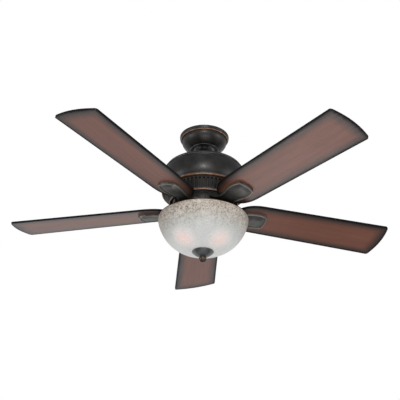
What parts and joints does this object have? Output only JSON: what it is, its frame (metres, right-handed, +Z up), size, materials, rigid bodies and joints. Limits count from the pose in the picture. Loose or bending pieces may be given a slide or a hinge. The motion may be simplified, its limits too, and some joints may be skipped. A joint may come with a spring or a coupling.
{
  "type": "ceiling fan with light",
  "caption": "Ceiling fan on a short downrod: vented dark bronze motor housing, walnut blades on cast irons, and a frosted bowl light closed by a finial.",
  "frame": {"origin": "centre of the ceiling bracket's top face, in the plane of the ceiling", "axes": "+Z up, out of the bracket's top face into the ceiling; +X along the bracket's screw slots; the reverse switch is on the +Y side"},
  "size_m": [1.28, 1.2412, 0.4658],
  "materials": {
    "bracket_steel": "zinc plated, dull",
    "bronze_paint": "satin dark bronze, nearly black, with a soft sheen",
    "copper_trim": "dark bronze rubbed through to copper on the raised edge",
    "cast_bronze": "cast dark bronze with rubbed edges",
    "walnut": "reddish walnut with fine lengthwise grain and burnished dark edges",
    "scavo_glass": "frosted white glass, mottled amber and brown towards the rim",
    "lamp_glass": "soft white lamp glass",
    "lamp_metal": "lamp cap, lightly brushed",
    "cast_aluminium": "as cast",
    "lamination": "stacked laminations",
    "winding": "enamelled copper wire",
    "bearing_steel": "ground steel",
    "screw_steel": "dark zinc",
    "black_plastic": "moulded, fine grain",
    "lead_insulation": "smooth insulation",
    "bush_metal": "dull plated",
    "porcelain": "glazed white",
    "rubber": "soft, matt",
    "rod_brass": "threaded rod, dull",
    "finial_paint": "satin dark bronze",
    "finial_copper": "brown copper-rubbed bronze"
  },
  "bodies": {
    "root": {"hanger_bracket": "bracket_steel", "ceiling_canopy": "bronze_paint", "canopy_trim_ring": "copper_trim", "canopy_screws": "screw_steel"},
    "fan_body": {"hanger_ball": "bronze_paint", "ball_cross_pin": "bearing_steel", "downrod": "bronze_paint", "motor_leads": "lead_insulation", "rod_coupling": "cast_aluminium", "coupling_pin": "bearing_steel", "coupling_set_screws": "screw_steel", "coupling_cover": "bronze_paint", "housing_dome": "bronze_paint", "housing_band": "bronze_paint", "band_trim_ring": "copper_trim", "vent_band": "bronze_paint", "vent_trim_ring": "copper_trim", "housing_screws": "screw_steel", "motor_shaft": "bearing_steel", "stator_core": "lamination", "stator_windings": "winding", "bearing_inner_races": "bearing_steel", "carrier_plate": "bracket_steel", "shaft_nut": "bearing_steel", "switch_housing": "bronze_paint", "switch_housing_screws": "screw_steel", "reverse_switch_body": "black_plastic", "run_capacitor": "black_plastic", "pull_switches": "black_plastic", "chain_bushes": "bush_metal", "fitter_pan": "bronze_paint", "lamp_sockets": "porcelain", "lamp_caps": "lamp_metal", "lamp_globes": "lamp_glass", "centre_rod": "rod_brass", "rod_nuts": "bearing_steel"},
    "rotor": {"bearing_balls": "bearing_steel", "bearing_outer_races": "bearing_steel", "upper_rotor_shell": "cast_aluminium", "lower_rotor_shell": "cast_aluminium", "rotor_cage_ring": "lamination", "iron_screws": "screw_steel", "blade_screws": "screw_steel", "blade_grommets": "rubber", "blade_iron_1": "cast_bronze", "blade_iron_2": "cast_bronze", "blade_iron_3": "cast_bronze", "blade_iron_4": "cast_bronze", "blade_iron_5": "cast_bronze", "blade_1": "walnut", "blade_2": "walnut", "blade_3": "walnut", "blade_4": "walnut", "blade_5": "walnut"},
    "reverse_knob": {"reverse_switch_knob": "black_plastic"},
    "bowl": {"glass_bowl": "scavo_glass", "bowl_washers": "rubber", "finial_cap": "finial_paint"},
    "finial": {"finial_knob": "finial_copper"}
  },
  "joints": [
    {"name": "hanger_swing", "type": "hinge", "parent": "root", "child": "fan_body", "pos_m": [0, 0, -0.036], "axis": [0, 1, 0], "range_deg": [-20, 20]},
    {"name": "rotor_spin", "type": "hinge", "parent": "fan_body", "child": "rotor", "pos_m": [0, 0, -0.268], "axis": [0, 0, 1], "continuous": true},
    {"name": "reverse_switch", "type": "slide", "parent": "fan_body", "child": "reverse_knob", "axis": [0, 0, -1], "range_m": [0, 0.006]},
    {"name": "bowl_lower", "type": "slide", "parent": "fan_body", "child": "bowl", "axis": [0, 0, -1], "range_m": [0, 0.11]},
    {"name": "finial_turn", "type": "hinge", "parent": "bowl", "child": "finial", "pos_m": [0, 0, -0.45], "axis": [0, 0, 1], "continuous": true}
  ]
}
